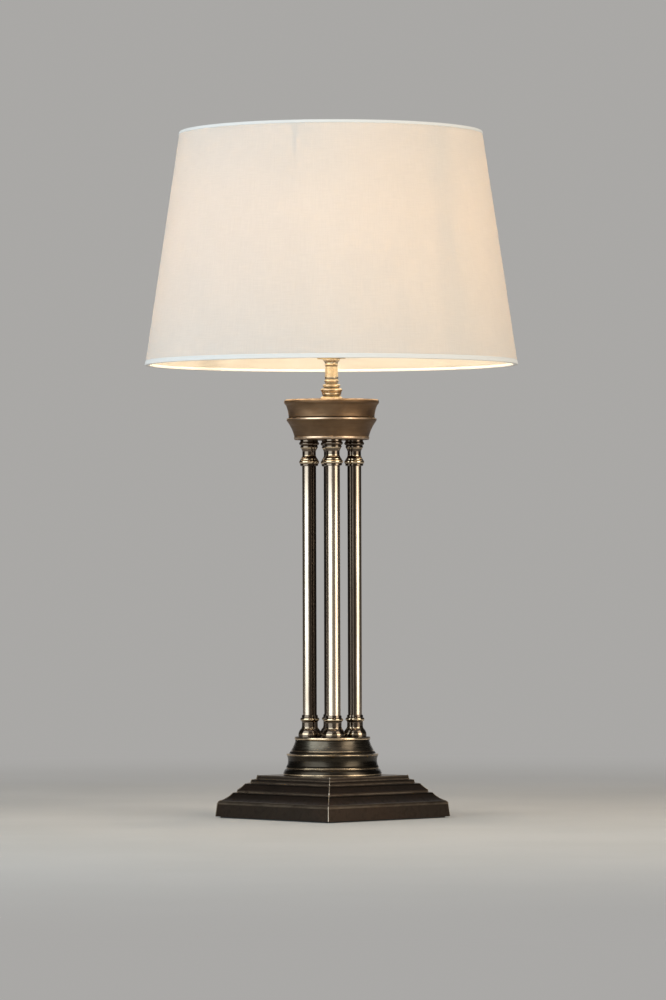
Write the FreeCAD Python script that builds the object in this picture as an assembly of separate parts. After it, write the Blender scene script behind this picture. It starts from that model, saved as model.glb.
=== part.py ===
import FreeCAD, Part
import math
import os

# Column table lamp: a stepped square plinth, four slender columns between two spun
# collars, a turned neck, and a taper shade carried on a harp over the bulb.
# Millimetres. +Z is up, and the origin is the middle of the felt's underside.
# The plinth's sides face X and Y, and the cord inlet is in its rear side, +Y.

Vector = FreeCAD.Vector
AXIS_Z = Vector(0, 0, 1)

# ---------------------------------------------------------------- clearances
SLIP = 0.05            # radial play of a screwed or sliding fit
HOLE_PLAY = 0.1        # radial play of a rod in its hole
SEAT_GAP = 0.3         # between curved faces that don't fit each other

# ---------------------------------------------------------------- base
PLINTH_SIDE = 181.0    # across the foot of the plinth
PLINTH_TOP_Z = 46.3
PLINTH_LEAN = 1.4      # draft of the lower block's sides, over their height
PLINTH_WALL = 2.5
PLINTH_ROOF = 2.0      # thickness of the treads and of the top
FELT_T = 1.5
FELT_MARGIN = 3.0
BOTTOM_PLATE_T = 2.0
PLATE_PLAY = 1.0       # between the bottom plate's edge and the leaning wall
BOSS_R = 4.0
BOSS_INSET = 12.5      # from the plinth's side to a corner boss's centre
SCREW_R = 2.0
SCREW_LEN = 11.0
SCREW_HEAD_R = 4.0
WEIGHT_SIDE = 132.0
WEIGHT_H = 20.0
WEIGHT_WELL_R = 40.0
WEIGHT_SLOT_W = 14.0   # passage for the lead, from the inlet to the well
WEIGHT_SCREW_INSET = 13.0

BUSH_BORE_R = 3.3
BUSH_WALL = 1.3
BUSH_FLANGE_RIM = 0.6  # the flange's width round the bush's body
BUSH_FLANGE_T = 1.7
BUSH_LEN = 7.0
BUSH_NUT_RIM = 1.2     # the nut's width round the bush's body
BUSH_NUT_T = 2.4
BUSH_NUT_IN = 2.2      # from the wall's foot to the nut: the wall leans in
BUSH_RISE = 0.2        # of the nut above the bottom plate

COLLAR_H = 41.9
COLLAR_FOOT_R = 53.6
COLLAR_WALL = 2.0

# ---------------------------------------------------------------- columns
COLUMN_COUNT = 4
COLUMN_PITCH_R = 24.65
COLUMN_FIRST_DEG = 50.0    # about +Z: the cluster stands 5 degrees off the plinth's corners
TUBE_R = 7.65
TUBE_WALL = 1.0
FOOT_H = 23.8
FOOT_SOCKET_H = 7.0        # depth that a tube stands in its foot
SHAFT_LEN = 271.0          # of each tube that shows, from foot to cap
CAP_H = 28.7
CAP_SOCKET_H = 8.0

ROD_R = 4.9                # M10 lamp pipe, threads left plain
ROD_BORE_R = 3.3
ROD_STAND = 2.2            # length of rod past its nut
NUT_FLATS = 14.0
NUT_H = 5.0
WASHER_R = 9.0
WASHER_T = 1.2

# ---------------------------------------------------------------- capital and neck
CAPITAL_H = 43.8
CAPITAL_RIM_R = 50.7
CAPITAL_WALL = 2.0
LID_INSET = 1.7            # from the capital's rim in to the lid's edge
LID_T = 2.0
LID_DROP = 5.5             # from the capital's rim down to the lid's seat
NECK_H = 48.0

# ---------------------------------------------------------------- harp saddle and socket
SADDLE_T = 1.5
SADDLE_W = 12.0
SADDLE_FLAT_X = 15.0       # half-length of the middle flat
SADDLE_RISE = 6.0
SADDLE_RISER_RUN = 4.8     # of each riser, along X
SADDLE_LEDGE_X = 35.0
TONGUE_X = 27.0            # inner face of the upright tongue that guides a harp leg
TONGUE_T = 1.4
TONGUE_W = 4.0
TONGUE_H = 13.0

SOCKET_WALL = 0.8
SOCKET_HUB_R = 7.5
SOCKET_HUB_H = 7.0
SOCKET_CAP_H = 20.0        # hub and cup together
SOCKET_SHELL_H = 46.0
SLEEVE_WALL = 0.9
CORE_RIM = 0.3             # of the core round the screw shell's inside
CORE_H = 26.0
CORE_FOOT_R = 6.5
CORE_FOOT_H = 4.5
SCREW_SHELL_R = 13.3       # inside radius, for a 26 mm lamp cap
SCREW_SHELL_WALL = 0.4
SCREW_SHELL_ROOM = 1.55    # between it and the insulating sleeve
SCREW_SHELL_H = 23.0
CONTACT_R = 4.5
CONTACT_T = 1.0
CONTACT_RISE = 2.2
KNOB_Z_UP = 24.0           # the switch's axis above the socket's foot
KNOB_SHAFT_R = 2.0
KNOB_SHAFT_OUT = 30.0      # from the lamp's axis to the shaft's end
KNOB_LEN = 15.0
KNOB_STEM_R = 4.0
KNOB_WING_W = 15.0
KNOB_WING_T = 3.4
KNOB_WING_CORNER = 3.0
KNOB_OVERLAP = 3.0         # of the wings over the stem's end

# ---------------------------------------------------------------- bulb
BULB_CAP_LEN = 25.0
BULB_TIP_R = 4.8
BULB_TIP_H = 2.5
BULB_R = 30.0
BULB_NECK_RIM = 0.9        # the glass neck's swell past the screw shell's inside
BULB_GLASS_LEN = 84.0
BULB_GLASS_WALL = 0.9

# ---------------------------------------------------------------- harp and finial
HARP_WIRE_R = 1.9
HARP_HALF_W = 57.0         # at its widest, to the wire's centre
HARP_LEG_H = 24.0          # straight leg above the saddle's ledge
HARP_FLARE_H = 60.0        # height of the S-bend from leg to widest part
HARP_SIDE_H = 32.0         # straight run at the widest part
HARP_RISE = 195.5          # from the ledge to the top wire's centre
HARP_CROWN_X = 8.0         # half-length of the level wire under the stud
HARP_CROWN_R = 30.0        # bend beside the crown
SLEEVE_PLAY = 0.18         # round the leg and the tongue together
SLEEVE_RIM = 0.8
SLEEVE_H = 14.0
STUD_BODY_R = 6.5
STUD_BODY_DOWN = 3.5       # below the top wire's centre
STUD_BODY_UP = 6.0         # above it, to the seat
STUD_R = 3.15
STUD_H = 13.0
FINIAL_BORE_DEPTH = 12.5

# ---------------------------------------------------------------- shade
SHADE_H = 254.6
SPIDER_RECESS = 38.7       # from the shade's top edge down to the spider's seat
SHADE_BOTTOM_R = 203.2
SHADE_TOP_R = 165.1
BACKING_T = 0.6
FABRIC_T = 0.5
RING_WIRE_R = 1.5
TRIM_T = 0.4
TOP_TRIM_H = 3.4
BOTTOM_TRIM_H = 5.0
SPIDER_HUB_R = 14.0
SPIDER_HUB_T = 1.6
SPIDER_ARM_R = 1.5
SPIDER_ARM_START = 7.5     # from the axis to an arm's inner end
SPIDER_BEND_R = 9.0
SPIDER_ARMS = 3
SPIDER_FIRST_DEG = 64.0

# ---------------------------------------------------------------- sizes and heights that follow
plate_z = FELT_T
plate_top_z = plate_z + BOTTOM_PLATE_T
bush_body_r = BUSH_BORE_R + BUSH_WALL
bush_flange_r = bush_body_r + BUSH_FLANGE_RIM
bush_nut_r = bush_body_r + BUSH_NUT_RIM
bush_z = plate_top_z + BUSH_RISE + bush_nut_r
collar_top_z = PLINTH_TOP_Z + COLLAR_H
foot_top_z = collar_top_z + FOOT_H
cap_bottom_z = foot_top_z + SHAFT_LEN
cap_top_z = cap_bottom_z + CAP_H
capital_z = cap_top_z
capital_top_z = capital_z + CAPITAL_H
lid_r = CAPITAL_RIM_R - LID_INSET
lid_seat_z = capital_top_z - LID_DROP
lid_top_z = lid_seat_z + LID_T
neck_top_z = lid_top_z + NECK_H
saddle_top_z = neck_top_z + SADDLE_T
ledge_z = saddle_top_z + SADDLE_RISE
socket_z = saddle_top_z
sleeve_r = SCREW_SHELL_R + SCREW_SHELL_WALL + SCREW_SHELL_ROOM + SLEEVE_WALL
socket_r = sleeve_r + SLIP + SOCKET_WALL
shell_z = socket_z + SOCKET_CAP_H - 2.0
core_z = socket_z + SOCKET_HUB_H + SOCKET_WALL
screw_shell_z = core_z + CORE_H
bulb_z = screw_shell_z + CONTACT_RISE + SEAT_GAP
glass_z = bulb_z + BULB_TIP_H + BULB_CAP_LEN - 3.0
harp_top_z = ledge_z + HARP_RISE
seat_z = harp_top_z + STUD_BODY_UP
finial_z = seat_z + SPIDER_HUB_T
shade_top_z = seat_z + SPIDER_RECESS
shade_bottom_z = shade_top_z - SHADE_H
plinth_half = PLINTH_SIDE / 2
hole_r = ROD_R + HOLE_PLAY


# ---------------------------------------------------------------- construction helpers
def edges_through(path):
    """Edges along a profile in the XZ plane. A point (r, z) is reached by a line, and
    (r, z, mid_r, mid_z) by an arc that passes through the middle point."""
    edges = []
    last = Vector(path[0][0], 0, path[0][1])
    for step in path[1:]:
        end = Vector(step[0], 0, step[1])
        if len(step) == 4:
            middle = Vector(step[2], 0, step[3])
            edges.append(Part.Arc(last, middle, end).toShape())
        else:
            edges.append(Part.LineSegment(last, end).toShape())
        last = end
    return edges


def turned(outline, bore=0.0):
    """A piece turned about the lamp's axis, from an outline that runs upwards."""
    path = [(bore, outline[0][1])] + outline + [(bore, outline[-1][1])]
    edges = edges_through(path + [path[0]])
    return Part.Face(Part.Wire(edges)).revolve(Vector(), AXIS_Z, 360)


def moved_in(outline, inset, drop=0.0):
    """The same outline, nearer the axis by inset and lower by drop."""
    moved = []
    for step in outline:
        place = [step[0] - inset, step[1] - drop]
        if len(step) == 4:
            place += [step[2] - inset, step[3] - drop]
        moved.append(tuple(place))
    return moved


def disc(radius, z, height, x=0.0, y=0.0):
    return Part.makeCylinder(radius, height, Vector(x, y, z), AXIS_Z)


def tube(outer_r, inner_r, z, height, x=0.0, y=0.0):
    return disc(outer_r, z, height, x, y).cut(disc(inner_r, z, height, x, y))


def slab(half_x, half_y, z, height):
    corner = Vector(-half_x, -half_y, z)
    return Part.makeBox(2 * half_x, 2 * half_y, height, corner)


def hex_nut(z, x=0.0, y=0.0):
    corner_r = NUT_FLATS / math.sqrt(3)
    corners = [
        Vector(x + corner_r * math.cos(i * math.pi / 3), y + corner_r * math.sin(i * math.pi / 3), z)
        for i in range(7)
    ]
    blank = Part.Face(Part.makePolygon(corners)).extrude(Vector(0, 0, NUT_H))
    return blank.cut(disc(ROD_R + SLIP, z, NUT_H, x, y))


def washer(z, x=0.0, y=0.0):
    return tube(WASHER_R, hole_r, z, WASHER_T, x, y)


def wire_sweep(path_edges, wire_r, start, direction):
    """A round wire along a path of tangent lines and arcs."""
    section = Part.Wire([Part.Circle(start, direction, wire_r).toShape()])
    return Part.Wire(path_edges).makePipeShell([section], True, False)


def column_centres():
    step = 360.0 / COLUMN_COUNT
    angles = [math.radians(COLUMN_FIRST_DEG + i * step) for i in range(COLUMN_COUNT)]
    return [(COLUMN_PITCH_R * math.cos(a), COLUMN_PITCH_R * math.sin(a)) for a in angles]


def at_column(shape, centre):
    copy = shape.copy()
    copy.translate(Vector(centre[0], centre[1], 0))
    return copy


def without_rod_holes(shape, z, height):
    for x, y in column_centres():
        shape = shape.cut(disc(hole_r, z, height, x, y))
    return shape


def save(name, shapes):
    """Write one node: a single solid, or a group of separate solids."""
    solids = [solid for shape in shapes for solid in shape.Solids]
    for solid in solids:
        if not solid.isValid():
            raise ValueError("invalid solid in " + name)
    shape = solids[0] if len(solids) == 1 else Part.makeCompound(solids)
    shape.exportStep("parts/" + name + ".step")
    print(name, len(solids), round(sum(s.Volume for s in solids) / 1000.0, 2), "cm3")


# ---------------------------------------------------------------- base
def plinth_outline():
    """Half-widths of the plinth against height: a drafted block with a rounded edge, two
    coved steps and two plain ones. All four sides share it, so they meet in mitres."""
    h = plinth_half
    top = PLINTH_TOP_Z
    return [
        (h, plate_z),
        (h - PLINTH_LEAN, top - 30.9),
        (h - 4.4, top - 27.5, h - 2.2, top - 28.7),
        (h - 13.4, top - 19.2, h - 9.4, top - 23.9),
        (h - 16.2, top - 18.6),
        (h - 16.7, top - 18.1, h - 16.6, top - 18.5),
        (h - 16.9, top - 16.0),
        (h - 22.9, top - 9.3, h - 20.2, top - 12.8),
        (h - 26.6, top - 8.5),
        (h - 27.1, top - 8.0, h - 27.0, top - 8.4),
        (h - 27.6, top - 5.1),
        (h - 31.0, top - 4.5),
        (h - 31.5, top - 4.0, h - 31.4, top - 4.4),
        (h - 32.2, top - 0.8),
        (h - 33.0, top, h - 32.4, top - 0.2),
    ]


def mitred(outline):
    """A square-plan solid with the outline on each side: two crossed bars' common part."""
    right = edges_through(outline)
    left = [edge.mirror(Vector(), Vector(1, 0, 0)) for edge in right]
    first, last = outline[0], outline[-1]
    ends = edges_through([(-first[0], first[1]), (first[0], first[1])])
    ends += edges_through([(-last[0], last[1]), (last[0], last[1])])
    ring = Part.Wire(Part.__sortEdges__(right + left + ends))
    bar = Part.Face(ring).extrude(Vector(0, 4 * plinth_half, 0))
    bar.translate(Vector(0, -2 * plinth_half, 0))
    crossed = bar.copy()
    crossed.rotate(Vector(), AXIS_Z, 90)
    return bar.common(crossed)


def corner_places(offset):
    return [(sx * offset, sy * offset) for sx in (-1, 1) for sy in (-1, 1)]


def countersunk(z, x, y, play=0.0):
    """A screw that points up, its flat head's face at z. With play, the hole for it."""
    head_h = SCREW_HEAD_R - SCREW_R
    foot = Vector(x, y, z)
    head = Part.makeCone(SCREW_HEAD_R + play, SCREW_R + play, head_h, foot, AXIS_Z)
    return head.fuse(disc(SCREW_R + play, z, SCREW_LEN + 2 * play, x, y))


boss_offset = plinth_half - BOSS_INSET
weight_screw_offset = WEIGHT_SIDE / 2 - WEIGHT_SCREW_INSET


def base_plinth():
    outline = plinth_outline()
    block = mitred(outline)
    inner = moved_in(outline, PLINTH_WALL, PLINTH_ROOF)
    shell = block.cut(mitred(inner))
    for x, y in corner_places(boss_offset):
        boss = disc(BOSS_R, plate_top_z, PLINTH_TOP_Z - plate_top_z, x, y).common(block)
        shell = shell.fuse(boss)
    for x, y in corner_places(boss_offset):
        shell = shell.cut(countersunk(plate_z, x, y, SLIP))
    shell = without_rod_holes(shell, PLINTH_TOP_Z - 2 * PLINTH_ROOF, 3 * PLINTH_ROOF)
    seat_y = bush_seat_y()
    inlet_y = seat_y - BUSH_LEN
    inlet = along_y(bush_body_r + SLIP, inlet_y, BUSH_LEN + BUSH_FLANGE_T)
    spot_face = along_y(bush_flange_r + SEAT_GAP, seat_y, 2 * BUSH_FLANGE_T)
    return shell.cut(inlet.fuse(spot_face)).removeSplitter()


def along_y(radius, start_y, length):
    """A cylinder at the cord inlet's height that runs rearwards, +Y."""
    return Part.makeCylinder(radius, length, Vector(0, start_y, bush_z), Vector(0, 1, 0))


def bush_seat_y():
    """The rear wall leans in a little, so the bush seats on a shallow spot face."""
    return plinth_half - PLINTH_LEAN


def cord_bush():
    back_y = bush_seat_y() - BUSH_LEN
    bush = along_y(bush_body_r, back_y, BUSH_LEN)
    bush = bush.fuse(along_y(bush_flange_r, bush_seat_y(), BUSH_FLANGE_T))
    bush = bush.cut(along_y(BUSH_BORE_R, back_y, BUSH_LEN + BUSH_FLANGE_T))
    return bush.removeSplitter()


def bush_nut():
    """Screwed on the bush against the inside of the rear wall."""
    start_y = plinth_half - PLINTH_WALL - BUSH_NUT_IN - BUSH_NUT_T
    ring = along_y(bush_nut_r, start_y, BUSH_NUT_T)
    return ring.cut(along_y(bush_body_r + SLIP, start_y, BUSH_NUT_T))


def felt_pad():
    half = plinth_half - FELT_MARGIN
    return slab(half, half, 0.0, FELT_T)


def bottom_plate():
    half = plinth_half - PLINTH_WALL - PLATE_PLAY
    plate = slab(half, half, plate_z, BOTTOM_PLATE_T)
    for x, y in corner_places(boss_offset) + corner_places(weight_screw_offset):
        plate = plate.cut(countersunk(plate_z, x, y, SLIP))
    return plate


def base_weight():
    half = WEIGHT_SIDE / 2
    block = slab(half, half, plate_top_z, WEIGHT_H)
    block = block.cut(disc(WEIGHT_WELL_R, plate_top_z, WEIGHT_H))
    slot = Part.makeBox(WEIGHT_SLOT_W, half, WEIGHT_H, Vector(-WEIGHT_SLOT_W / 2, 0, plate_top_z))
    block = block.cut(slot)
    for x, y in corner_places(weight_screw_offset):
        block = block.cut(countersunk(plate_z, x, y, SLIP))
    return block


def base_collar():
    """Spun in one piece: a foot roll, a waisted drum, a coved shoulder and a top bead."""
    z = PLINTH_TOP_Z
    top = collar_top_z
    r = COLLAR_FOOT_R
    outline = [
        (r, z),
        (r, z + 2.2),
        (r - 2.5, z + 6.9, r - 0.9, z + 4.9),
        (r - 3.4, z + 7.3),
        (r - 3.4, z + 8.0),
        (r - 2.8, z + 8.5),
        (r - 3.7, top - 19.6, r - 5.1, top - 25.7),
        (r - 3.7, top - 18.5, r - 3.3, top - 19.0),
        (r - 6.2, top - 18.1),
        (r - 13.3, top - 3.6, r - 10.8, top - 10.6),
        (r - 12.6, top - 2.8),
        (r - 12.6, top - 0.5, r - 12.2, top - 1.6),
        (r - 13.1, top, r - 12.7, top - 0.15),
    ]
    shell = turned(outline)
    hollow = turned(moved_in(outline, COLLAR_WALL))
    hollow = hollow.common(disc(2 * r, z, top - z - COLLAR_WALL))
    return without_rod_holes(shell.cut(hollow), top - 2 * COLLAR_WALL, 4 * COLLAR_WALL)


# ---------------------------------------------------------------- columns
def column_foot():
    """A turned foot: a domed base, a waist and a bead, bored for the rod and the tube."""
    z = collar_top_z
    r = TUBE_R
    outline = [
        (r + 4.55, z),
        (r + 4.95, z + 0.4),
        (r + 4.95, z + 2.9),
        (r + 2.05, z + 8.9, r + 4.05, z + 6.0),
        (r + 1.05, z + 11.6, r + 1.35, z + 10.2),
        (r + 1.05, z + 15.3),
        (r + 1.75, z + 17.3, r + 1.25, z + 16.5),
        (r + 1.85, z + 20.7, r + 2.75, z + 19.0),
        (r + 1.25, z + 21.1),
        (r + 1.05, z + FOOT_H - 0.3),
        (r + 0.75, z + FOOT_H),
    ]
    foot = turned(outline, hole_r)
    socket = disc(r + SLIP, z + FOOT_H - FOOT_SOCKET_H, FOOT_SOCKET_H)
    return foot.cut(socket)


def column_cap():
    """A turned head: a torus over the tube, a thin neck and a bead under the capital."""
    z = cap_bottom_z
    r = TUBE_R
    outline = [
        (r + 0.95, z),
        (r + 2.15, z + 0.6),
        (r + 2.15, z + 2.3),
        (r + 2.05, z + 6.8, r + 3.25, z + 4.6),
        (r + 1.95, z + 7.8),
        (r - 0.25, z + 12.2, r + 0.55, z + 9.6),
        (r - 0.25, z + 16.0),
        (r + 1.95, z + 20.3, r + 0.45, z + 17.9),
        (r + 1.95, z + 21.6),
        (r + 1.35, z + 22.2),
        (r + 2.25, z + 22.9),
        (r + 2.55, z + 26.2, r + 3.25, z + 24.5),
        (r + 2.05, z + 26.8),
        (r + 2.05, z + CAP_H),
    ]
    cap = turned(outline, hole_r)
    return cap.cut(disc(r + SLIP, z, CAP_SOCKET_H))


def column_tube():
    bottom = foot_top_z - FOOT_SOCKET_H
    top = cap_bottom_z + CAP_SOCKET_H
    return tube(TUBE_R, TUBE_R - TUBE_WALL, bottom, top - bottom)


lower_washer_z = PLINTH_TOP_Z - PLINTH_ROOF - WASHER_T
lower_nut_z = lower_washer_z - NUT_H
upper_washer_z = capital_z + CAPITAL_WALL
upper_nut_z = upper_washer_z + WASHER_T


def tie_rod():
    """Lamp pipe through a column, clamped between the plinth's top and the capital."""
    bottom = lower_nut_z - ROD_STAND
    top = upper_nut_z + NUT_H + ROD_STAND
    return tube(ROD_R, ROD_BORE_R, bottom, top - bottom)


# ---------------------------------------------------------------- capital and neck
def capital_cup():
    """A spun cup that flares to a sharp step, then a shallow cove up to its rim."""
    z = capital_z
    top = capital_top_z
    r = CAPITAL_RIM_R
    outline = [
        (r - 10.5, z),
        (r - 10.0, z + 3.7, r - 9.6, z + 1.9),
        (r - 2.0, z + 20.5, r - 7.6, z + 10.9),
        (r - 1.6, z + 21.4),
        (r - 1.6, z + 23.1),
        (r - 3.8, z + 23.8),
        (r - 0.9, z + 37.6, r - 3.0, z + 31.3),
        (r - 0.3, z + 38.4),
        (r + 0.5, top - 0.4, r + 1.1, z + 41.3),
        (r, top),
    ]
    shell = turned(outline)
    floor_z = z + CAPITAL_WALL
    hollow = turned(moved_in(outline, CAPITAL_WALL))
    hollow = hollow.common(disc(2 * r, floor_z, lid_seat_z - floor_z))
    mouth = disc(lid_r + SLIP, lid_seat_z, LID_DROP)
    return without_rod_holes(shell.cut(hollow).cut(mouth), z - 1, 2 * CAPITAL_WALL)


def capital_lid():
    """Closes the capital, pressed into its mouth, and carries the neck."""
    return tube(lid_r, hole_r, lid_seat_z, LID_T)


nipple_washer_z = lid_seat_z - WASHER_T
nipple_nut_z = nipple_washer_z - NUT_H


def neck_nipple():
    """Short lamp pipe that clamps the lid, neck, saddle and socket together."""
    bottom = nipple_nut_z - ROD_STAND
    top = socket_z + SOCKET_HUB_H
    return tube(ROD_R, ROD_BORE_R, bottom, top - bottom)


def neck_stem():
    """Turned neck: a stepped foot with rings, a slender shaft and a flared lip."""
    z = lid_top_z
    top = neck_top_z
    outline = [
        (12.6, z),
        (12.6, z + 2.6),
        (11.8, z + 3.6),
        (11.8, z + 5.9, 12.2, z + 4.8),
        (9.7, z + 7.3),
        (9.7, z + 8.3, 9.5, z + 7.8),
        (10.5, z + 10.4, 10.4, z + 9.2),
        (11.2, z + 12.6),
        (10.9, z + 15.4, 11.9, z + 14.0),
        (8.4, z + 16.4),
        (8.4, z + 17.4),
        (8.9, z + 20.0, 9.7, z + 18.7),
        (6.9, z + 21.0),
        (6.9, z + 22.2),
        (7.2, z + 25.2, 7.8, z + 23.7),
        (7.0, z + 26.0),
        (7.4, z + 28.0),
        (6.7, top - 8.4),
        (6.7, top - 7.4),
        (7.4, top - 6.6),
        (7.1, top - 5.6),
        (9.2, top - 1.8, 7.6, top - 3.3),
        (9.2, top - 0.6),
        (8.8, top),
    ]
    return turned(outline, hole_r)


# ---------------------------------------------------------------- saddle and socket
def harp_saddle():
    """A bent strap: a middle flat on the neck, two risers and two ledges. A tongue
    stands on each ledge, beside the harp's leg."""
    rise_x = SADDLE_FLAT_X + SADDLE_RISER_RUN
    bend_x = SADDLE_T / 2      # the underside's bends lie this much further out
    upper = [
        (0, saddle_top_z),
        (SADDLE_FLAT_X, saddle_top_z),
        (rise_x, ledge_z),
        (SADDLE_LEDGE_X, ledge_z),
    ]
    lower = [
        (SADDLE_LEDGE_X, ledge_z - SADDLE_T),
        (rise_x + bend_x, ledge_z - SADDLE_T),
        (SADDLE_FLAT_X + bend_x, neck_top_z),
        (0, neck_top_z),
    ]
    face = Part.Face(Part.Wire(edges_through(upper + lower + [upper[0]])))
    half = face.extrude(Vector(0, SADDLE_W, 0))
    half.translate(Vector(0, -SADDLE_W / 2, 0))
    tongue = Part.makeBox(TONGUE_T, TONGUE_W, TONGUE_H, Vector(TONGUE_X, -TONGUE_W / 2, ledge_z))
    half = half.fuse(tongue)
    strap = half.fuse(half.mirror(Vector(), Vector(1, 0, 0)))
    return strap.cut(disc(hole_r, neck_top_z, SADDLE_T)).removeSplitter()


def socket_cap():
    """The socket's lower cup: a hub on the nipple and a domed flare."""
    z = socket_z
    wall = SOCKET_WALL
    top = z + SOCKET_CAP_H
    outline = [
        (SOCKET_HUB_R, z),
        (SOCKET_HUB_R, z + SOCKET_HUB_H - 1.0),
        (socket_r, top - 3.0, socket_r - 2.6, z + SOCKET_HUB_H + 3.2),
        (socket_r, top),
    ]
    cup = turned(outline, ROD_R + SLIP)
    hollow = [
        (ROD_R + SLIP, core_z),
        (SOCKET_HUB_R, core_z),
        (socket_r - wall, top - 3.0, socket_r - 2.6 - wall, z + SOCKET_HUB_H + 4.4),
        (socket_r - wall, top),
    ]
    return cup.cut(turned(hollow))


knob_z = socket_z + KNOB_Z_UP


def knob_passage(radius):
    return Part.makeCylinder(radius, 2 * socket_r, Vector(0, 0, knob_z), Vector(0, -1, 0))


def socket_shell():
    """The socket's upper shell, sprung over the cup, with a rolled mouth."""
    z = shell_z
    top = z + SOCKET_SHELL_H
    play = socket_r + SLIP
    wall = SOCKET_WALL
    outer = [
        (play + wall, z),
        (play + wall, top - 3.0),
        (play + wall + 0.9, top - 1.2),
        (play + wall + 0.9, top - 0.6),
        (play + wall + 0.3, top),
    ]
    shell = turned(outer).cut(disc(play, z, SOCKET_SHELL_H))
    return shell.cut(knob_passage(KNOB_STEM_R + SEAT_GAP))


def socket_sleeve():
    """The insulating sleeve between the shell and the screw shell."""
    height = SOCKET_SHELL_H - 1.5
    ring = tube(sleeve_r, sleeve_r - SLEEVE_WALL, shell_z, height)
    return ring.cut(knob_passage(KNOB_SHAFT_R + SEAT_GAP))


def socket_core():
    """The moulded body that holds the switch and carries the screw shell."""
    core = disc(SCREW_SHELL_R + CORE_RIM, core_z + CORE_FOOT_H, CORE_H - CORE_FOOT_H)
    core = core.fuse(disc(CORE_FOOT_R, core_z, CORE_FOOT_H))
    return core.cut(knob_passage(KNOB_SHAFT_R + SLIP)).removeSplitter()


def screw_shell():
    outer = SCREW_SHELL_R + SCREW_SHELL_WALL
    cup = disc(outer, screw_shell_z, SCREW_SHELL_H)
    cup = cup.cut(disc(SCREW_SHELL_R, screw_shell_z + SCREW_SHELL_WALL, SCREW_SHELL_H))
    return cup.cut(disc(CONTACT_R + 2.0, screw_shell_z, SCREW_SHELL_WALL))


def centre_contact():
    """A sprung tongue under the lamp cap: a button on a short post."""
    button = disc(CONTACT_R, screw_shell_z + CONTACT_RISE - CONTACT_T, CONTACT_T)
    return button.fuse(disc(CONTACT_R / 2, screw_shell_z, CONTACT_RISE - CONTACT_T))


def switch_shaft():
    return Part.makeCylinder(KNOB_SHAFT_R, KNOB_SHAFT_OUT - 2.0, Vector(0, -2.0, knob_z),
                             Vector(0, -1, 0))


def switch_knob():
    """A moulded key: a round stem on the shaft and a flat two-winged grip."""
    out = Vector(0, -1, 0)
    stem_y = -(socket_r + SOCKET_WALL + 1.0)
    stem_len = KNOB_SHAFT_OUT + stem_y + 2.0
    stem = Part.makeCylinder(KNOB_STEM_R, stem_len, Vector(0, stem_y, knob_z), out)
    wing_y = stem_y - stem_len - KNOB_LEN + KNOB_OVERLAP
    corner = Vector(-KNOB_WING_W / 2, wing_y, knob_z - KNOB_WING_T / 2)
    wing = Part.makeBox(KNOB_WING_W, KNOB_LEN, KNOB_WING_T, corner)
    upright = [edge for edge in wing.Edges if abs(edge.tangentAt(edge.FirstParameter).z) > 0.9]
    wing = wing.makeFillet(KNOB_WING_CORNER, upright)
    knob = stem.fuse(wing)
    bore = Part.makeCylinder(KNOB_SHAFT_R + SLIP, KNOB_SHAFT_OUT + stem_y + SLIP,
                             Vector(0, stem_y, knob_z), out)
    return knob.cut(bore).removeSplitter()


# ---------------------------------------------------------------- bulb
def bulb_cap():
    """The screw cap, its thread left plain, with an insulated contact at its foot."""
    z = bulb_z
    body_r = SCREW_SHELL_R - SLIP
    outline = [
        (BULB_TIP_R - 1.2, z),
        (BULB_TIP_R, z + 1.0),
        (body_r - 3.0, z + BULB_TIP_H),
        (body_r, z + BULB_TIP_H + 2.6, body_r - 0.7, z + BULB_TIP_H + 0.8),
        (body_r, z + BULB_TIP_H + BULB_CAP_LEN),
    ]
    cap = turned(outline)
    neck_room = disc(body_r - 0.4, glass_z - SEAT_GAP, BULB_CAP_LEN)
    return cap.cut(neck_room)


def glass_outline(z):
    """A pear bulb: a straight neck in the cap, a flare and a round crown."""
    neck_z = z + 3.0
    neck_r = SCREW_SHELL_R + BULB_NECK_RIM
    crown_z = z + BULB_GLASS_LEN - BULB_R
    shoulder = BULB_R * 0.5
    return [
        (SCREW_SHELL_R - 1.2, z),
        (SCREW_SHELL_R - 1.2, neck_z + SEAT_GAP),
        (neck_r, neck_z + 2.0),
        (neck_r + 2.3, neck_z + 13.0, neck_r + 0.5, neck_z + 7.5),
        (BULB_R, crown_z, BULB_R - 3.4, crown_z - shoulder * 0.95),
    ]


def bulb_glass():
    z = glass_z
    outline = glass_outline(z)
    crown_z = outline[-1][1]
    tilt = math.radians(45)
    crown = (0.001, crown_z + BULB_R, BULB_R * math.cos(tilt), crown_z + BULB_R * math.sin(tilt))
    outer = turned(outline + [crown])
    wall = BULB_GLASS_WALL
    inner_r = BULB_R - wall
    inner = moved_in(outline, wall)
    top = (0.001, crown_z + inner_r, inner_r * math.cos(tilt), crown_z + inner_r * math.sin(tilt))
    inner_shape = turned(inner + [top])
    return outer.cut(inner_shape)


# ---------------------------------------------------------------- harp
harp_leg_x = TONGUE_X + TONGUE_T + HARP_WIRE_R + HOLE_PLAY


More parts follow.
